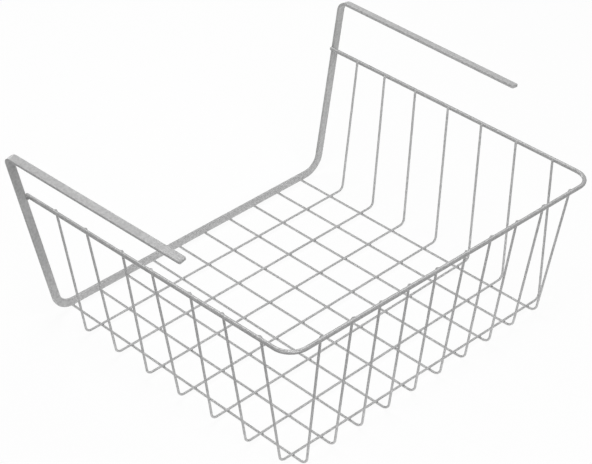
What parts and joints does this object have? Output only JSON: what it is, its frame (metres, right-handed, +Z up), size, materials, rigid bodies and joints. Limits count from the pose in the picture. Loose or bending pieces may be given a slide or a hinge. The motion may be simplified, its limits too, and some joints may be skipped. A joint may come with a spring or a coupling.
{
  "type": "under-shelf wire basket",
  "caption": "Open-front welded wire basket that hangs from a shelf board by flat arms, with a flat floor grid, flared side and rear walls and a round wire rim.",
  "frame": {"origin": "on the floor plane, under the middle of the basket's outer box; the lowest floor wires rest on z = 0", "axes": "+X across the shelf edge, +Y back under the shelf towards the basket's rear wall, +Z up towards the hanging arms"},
  "size_m": [0.3354, 0.27, 0.1616],
  "materials": {
    "strip_coat": "pale grey powder coat, satin",
    "wire_coat": "pale grey powder coat, satin"
  },
  "bodies": {
    "root": {"hanger_strip": "strip_coat", "rim_wire": "wire_coat", "cross_wire_1": "wire_coat", "cross_wire_2": "wire_coat", "cross_wire_3": "wire_coat", "cross_wire_4": "wire_coat", "cross_wire_5": "wire_coat", "cross_wire_6": "wire_coat", "cross_wire_7": "wire_coat", "depth_wire_1": "wire_coat", "depth_wire_2": "wire_coat", "depth_wire_3": "wire_coat", "depth_wire_4": "wire_coat", "depth_wire_5": "wire_coat", "depth_wire_6": "wire_coat", "depth_wire_7": "wire_coat", "depth_wire_8": "wire_coat", "depth_wire_9": "wire_coat", "depth_wire_10": "wire_coat"}
  },
  "joints": []
}
